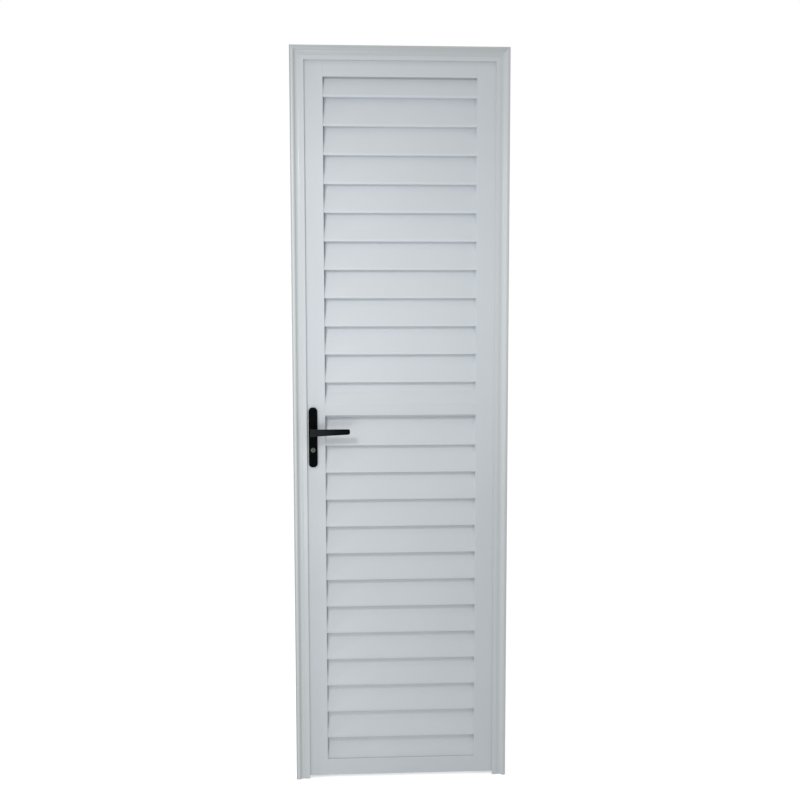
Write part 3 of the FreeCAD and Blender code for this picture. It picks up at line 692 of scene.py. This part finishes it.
def block(name, low, high):
    """A cube drawn out to the box between two corners, with its size and place in its mesh."""
    bpy.ops.object.select_all(action="DESELECT")
    bpy.ops.mesh.primitive_cube_add(size=1.0, location=(low + high) / 2, scale=high - low)
    piece = bpy.context.object
    piece.name = name
    bpy.ops.object.transform_apply(location=True, rotation=True, scale=True)
    return piece


print("modelling helpers ready")

# %% [markdown]
# Door seal. No open gap shows between the frame's lip and the leaf, so a white seal closes it: a strip on
# the back of the lip, along both jambs and the head. The leaf swings away from it. Each strip is a block,
# and its face towards the leaf is rounded by a bevel.

# %% Door seal
LIP_THICKNESS = 0.0028
SEAL_WIDTH = 0.0030
SEAL_CLEARANCE = 0.0006
SEAL_ROUND = 0.0010
SEAL_SEGMENTS = 3
SMOOTH_ANGLE = 40


def seal_strip(name, low_x, high_x, low_z, high_z):
    """A seal behind the lip that rides on the frame."""
    leaf_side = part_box("lock_stile")[0].y - SEAL_CLEARANCE
    strip = block(name, Vector((low_x, LIP_THICKNESS, low_z)), Vector((high_x, leaf_side, high_z)))
    select_faces(strip, lambda centre, normal: normal.y > ALONG)
    bpy.ops.mesh.bevel(offset=SEAL_ROUND, segments=SEAL_SEGMENTS)
    bpy.ops.object.mode_set(mode="OBJECT")
    bpy.ops.object.shade_smooth_by_angle(angle=math.radians(SMOOTH_ANGLE))
    strip.data.materials.append(finishes["frame_white"])
    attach(strip, "frame")
    print(name, len(strip.data.polygons), "faces")


lock_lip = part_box("lock_jamb")[1].x
hinge_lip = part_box("hinge_jamb")[0].x
head_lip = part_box("head")[0].z
seal_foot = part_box("lock_stile")[0].z
seal_strip("lock_jamb_seal", lock_lip - SEAL_WIDTH, lock_lip, seal_foot, head_lip)
seal_strip("hinge_jamb_seal", hinge_lip, hinge_lip + SEAL_WIDTH, seal_foot, head_lip)
seal_strip("head_seal", lock_lip - SEAL_WIDTH, hinge_lip + SEAL_WIDTH, head_lip, head_lip + SEAL_WIDTH)

# %% [markdown]
# Weather strip. No ledge shows between the last slat of the upper panel and the mid rail. A sloped strip
# lies on the ledge there and leads rain from the slat to the face of the rail. It is a block whose top is
# narrowed and drawn back to the slat.

# %% Weather strip
SLAT_SHEET = 0.0016
SLAT_HEM = 0.008
STRIP_HEIGHT = 0.034
STRIP_SINK = 0.0003
RAIL_ROUND = 0.0005
rail_low, rail_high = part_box("mid_rail")
slat_low, slat_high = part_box("upper_slat_12")
slat_slope = (slat_high.y - SLAT_SHEET - slat_low.y) / (slat_high.z - SLAT_HEM - slat_low.z)
strip_depth = slat_low.y + STRIP_SINK - rail_low.y
weather_strip = block(
    "weather_strip",
    Vector((lock_edge, rail_low.y, rail_high.z - RAIL_ROUND)),
    Vector((hinge_edge, rail_low.y + strip_depth, rail_high.z + STRIP_HEIGHT)))
select_faces(weather_strip, lambda centre, normal: normal.z > ALONG)
bpy.ops.transform.resize(value=(1.0, STRIP_SINK / strip_depth, 1.0))
top_place = slat_low.y + slat_slope * STRIP_HEIGHT + STRIP_SINK / 2
bpy.ops.transform.translate(value=(0, top_place - rail_low.y - strip_depth / 2, 0))
bpy.ops.object.mode_set(mode="OBJECT")
weather_strip.data.materials.append(finishes["slat_white"])
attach(weather_strip, "leaf")
print("weather strip from", round(rail_high.z, 3), "to", round(rail_high.z + STRIP_HEIGHT, 3))

# %% [markdown]
# Screws. The hinges, the inner handle plate and the lock plates are held by countersunk screws with a
# cross recess. One head is modelled from a cylinder: its lower end is drawn in to the countersink, its
# face is raised in two steps by inset, and a cross is cut into it. Copies then go to every place.

# %% Model one screw head
HEAD_RADIUS = 0.0034
HEAD_DEPTH = 0.0016
HEAD_SIDES = 28
FOOT_SHARE = 0.55
RIM_WIDTH = HEAD_RADIUS * 0.10
RIM_RISE = HEAD_RADIUS * 0.07
CROWN_WIDTH = HEAD_RADIUS * 0.28
CROWN_RISE = HEAD_RADIUS * 0.06
CROSS_WING = HEAD_RADIUS * 0.55
CROSS_BAR = HEAD_RADIUS * 0.20
CROSS_HEIGHT = HEAD_DEPTH * 1.4
WING_TAPER = 0.8


def screw_head():
    """A countersunk head that looks along +Z, with its seat at the origin."""
    bpy.ops.object.select_all(action="DESELECT")
    bpy.ops.mesh.primitive_cylinder_add(
        vertices=HEAD_SIDES, radius=HEAD_RADIUS, depth=HEAD_DEPTH, location=(0, 0, -HEAD_DEPTH / 2))
    head = bpy.context.object
    head.name = "screw_head"
    select_faces(head, lambda centre, normal: normal.z < -ALONG)
    bpy.ops.transform.resize(value=(FOOT_SHARE, FOOT_SHARE, 1.0))
    select_faces(head, lambda centre, normal: normal.z > ALONG)
    bpy.ops.mesh.inset(thickness=RIM_WIDTH, depth=RIM_RISE)
    bpy.ops.mesh.inset(thickness=CROWN_WIDTH, depth=CROWN_RISE)
    bpy.ops.object.mode_set(mode="OBJECT")
    return head


def cross_tool():
    """The star-shaped bit that presses the recess: a square bar with four faces drawn out to wings."""
    bpy.ops.object.select_all(action="DESELECT")
    bpy.ops.mesh.primitive_cube_add(
        size=1.0, location=(0, 0, 0), scale=(CROSS_BAR, CROSS_BAR, CROSS_HEIGHT))
    tool = bpy.context.object
    for x, y in ((1, 0), (-1, 0), (0, 1), (0, -1)):
        select_faces(tool, lambda centre, normal: normal.x * x + normal.y * y > ALONG
                     and abs(centre.x * x + centre.y * y) < CROSS_BAR)
        wing_way = (x * CROSS_WING, y * CROSS_WING, 0)
        bpy.ops.mesh.extrude_region_move(TRANSFORM_OT_translate={"value": wing_way})
        bpy.ops.transform.resize(value=(1.0, 1.0, WING_TAPER))
        bpy.ops.object.mode_set(mode="OBJECT")
    return tool


head = screw_head()
tool = cross_tool()
cut = head.modifiers.new("recess", "BOOLEAN")
cut.operation = "DIFFERENCE"
cut.object = tool
bpy.context.view_layer.objects.active = head
bpy.ops.object.modifier_apply(modifier="recess")
bpy.data.objects.remove(tool)
print("screw head:", len(head.data.polygons), "faces")

# %% [markdown]
# Placing the screws. A set of screws is a list of seats on one piece: points on its face. Each seat gets
# its own copy of the head, which is turned to the way the face looks and moved there, and a set is joined
# into one piece that rides on the same body as what it holds.

# %% Set of screws
FACE_TURNS = {"inside": (-90, "X"), "lock side": (-90, "Y"), "hinge side": (90, "Y")}


def screw_set(name, seats, facing, body, slot):
    """Copies of the screw head at the seats, joined into one piece."""
    angle, axis = FACE_TURNS[facing]
    copies = []
    for seat in seats:
        copy = head.copy()
        copy.data = head.data.copy()
        bpy.context.scene.collection.objects.link(copy)
        bpy.ops.object.select_all(action="DESELECT")
        copy.select_set(True)
        bpy.context.view_layer.objects.active = copy
        copy.rotation_euler = [math.radians(angle) if axis == letter else 0 for letter in "XYZ"]
        copy.location = seat
        bpy.ops.object.transform_apply(location=True, rotation=True, scale=True)
        copies.append(copy)
    for copy in copies:
        copy.select_set(True)
    bpy.context.view_layer.objects.active = copies[0]
    bpy.ops.object.join()
    screws = bpy.context.object
    screws.name = name
    screws.data.materials.clear()
    screws.data.materials.append(finishes[slot])
    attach(screws, body)
    print(name, len(seats), "screws")


print("a set of screws can look to:", ", ".join(FACE_TURNS))

# %% Screws of the hinges
HINGES = ("lower", "middle", "upper")
SCREW_END = 0.012
SCREW_INSET = 0.0075
WING_THICKNESS = 0.003
HEAD_SEAT = 0.0001


def wing_seats(node, outer_side):
    """Three seats along a hinge wing, away from its knuckle; outer_side is 1 towards the wall."""
    low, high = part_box(node)
    wing_edge = high.x if outer_side > 0 else low.x
    across = wing_edge - outer_side * SCREW_INSET
    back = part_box("hinge_jamb")[1].y + WING_THICKNESS + HEAD_SEAT
    levels = (low.z + SCREW_END, (low.z + high.z) / 2, high.z - SCREW_END)
    return [Vector((across, back, level)) for level in levels]


frame_seats = [seat for hinge in HINGES for seat in wing_seats(f"{hinge}_frame_hinge", 1)]
leaf_seats = [seat for hinge in HINGES for seat in wing_seats(f"{hinge}_leaf_hinge", -1)]
screw_set("frame_hinge_screws", frame_seats, "inside", "frame", "lock_steel")
screw_set("leaf_hinge_screws", leaf_seats, "inside", "leaf", "lock_steel")

# %% Screws of the plates
PLATE_SCREW_END = 0.011
plate_low, plate_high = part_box("rear_plate")
plate_middle = (plate_low.x + plate_high.x) / 2
plate_levels = (plate_low.z + PLATE_SCREW_END, plate_high.z - PLATE_SCREW_END)
rear_seats = [Vector((plate_middle, plate_high.y + HEAD_SEAT, level)) for level in plate_levels]
screw_set("rear_plate_screws", rear_seats, "inside", "leaf", "handle_black")

FACE_SCREW_END = 0.008
case_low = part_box("lock_case")[0]
strike_low, strike_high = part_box("strike_plate")
face_middle = (strike_low.y + strike_high.y) / 2
face_levels = (strike_low.z + FACE_SCREW_END, strike_high.z - FACE_SCREW_END)
face_seats = [Vector((case_low.x - HEAD_SEAT, face_middle, level)) for level in face_levels]
strike_seats = [Vector((strike_high.x + HEAD_SEAT, face_middle, level)) for level in face_levels]
screw_set("face_plate_screws", face_seats, "lock side", "leaf", "lock_steel")
screw_set("strike_plate_screws", strike_seats, "hinge side", "frame", "lock_steel")
bpy.data.objects.remove(head)

# %% [markdown]
# Bolts. The latch and the dead bolt are drawn back, so only their ends show in the face plate of the
# lock, opposite the slots of the strike plate. One end is a short bar with a raised, bevelled face. It is
# copied to the other level, and the two are joined.

# %% Bolt ends
BOLT_WIDTH = 0.0114
BOLT_HEIGHT = 0.0254
BOLT_PROUD = 0.0002
BOLT_SEAT = 0.0008
BOLT_BEVEL = 0.0007
BOLT_RISE = 0.0003
bolt_levels = [(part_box(node)[0].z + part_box(node)[1].z) / 2 for node in ("spindle", "key_cylinder")]
half_bolt = Vector((0, BOLT_WIDTH / 2, BOLT_HEIGHT / 2))
bolt_middle = Vector((case_low.x, face_middle, bolt_levels[0]))
bolt_ends = block(
    "bolt_ends",
    bolt_middle - half_bolt - Vector((BOLT_PROUD, 0, 0)),
    bolt_middle + half_bolt + Vector((BOLT_SEAT, 0, 0)))
select_faces(bolt_ends, lambda centre, normal: normal.x < -ALONG)
bpy.ops.mesh.inset(thickness=BOLT_BEVEL, depth=BOLT_RISE)
bpy.ops.object.mode_set(mode="OBJECT")
dead_bolt = bolt_ends.copy()
dead_bolt.data = bolt_ends.data.copy()
bpy.context.scene.collection.objects.link(dead_bolt)
dead_bolt.location = (0, 0, bolt_levels[1] - bolt_levels[0])
dead_bolt.select_set(True)
bpy.ops.object.join()
bpy.ops.object.transform_apply(location=True, rotation=True, scale=True)
bolt_ends.data.materials.append(finishes["lock_steel"])
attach(bolt_ends, "leaf")
print("bolt ends at", [round(level, 3) for level in bolt_levels])
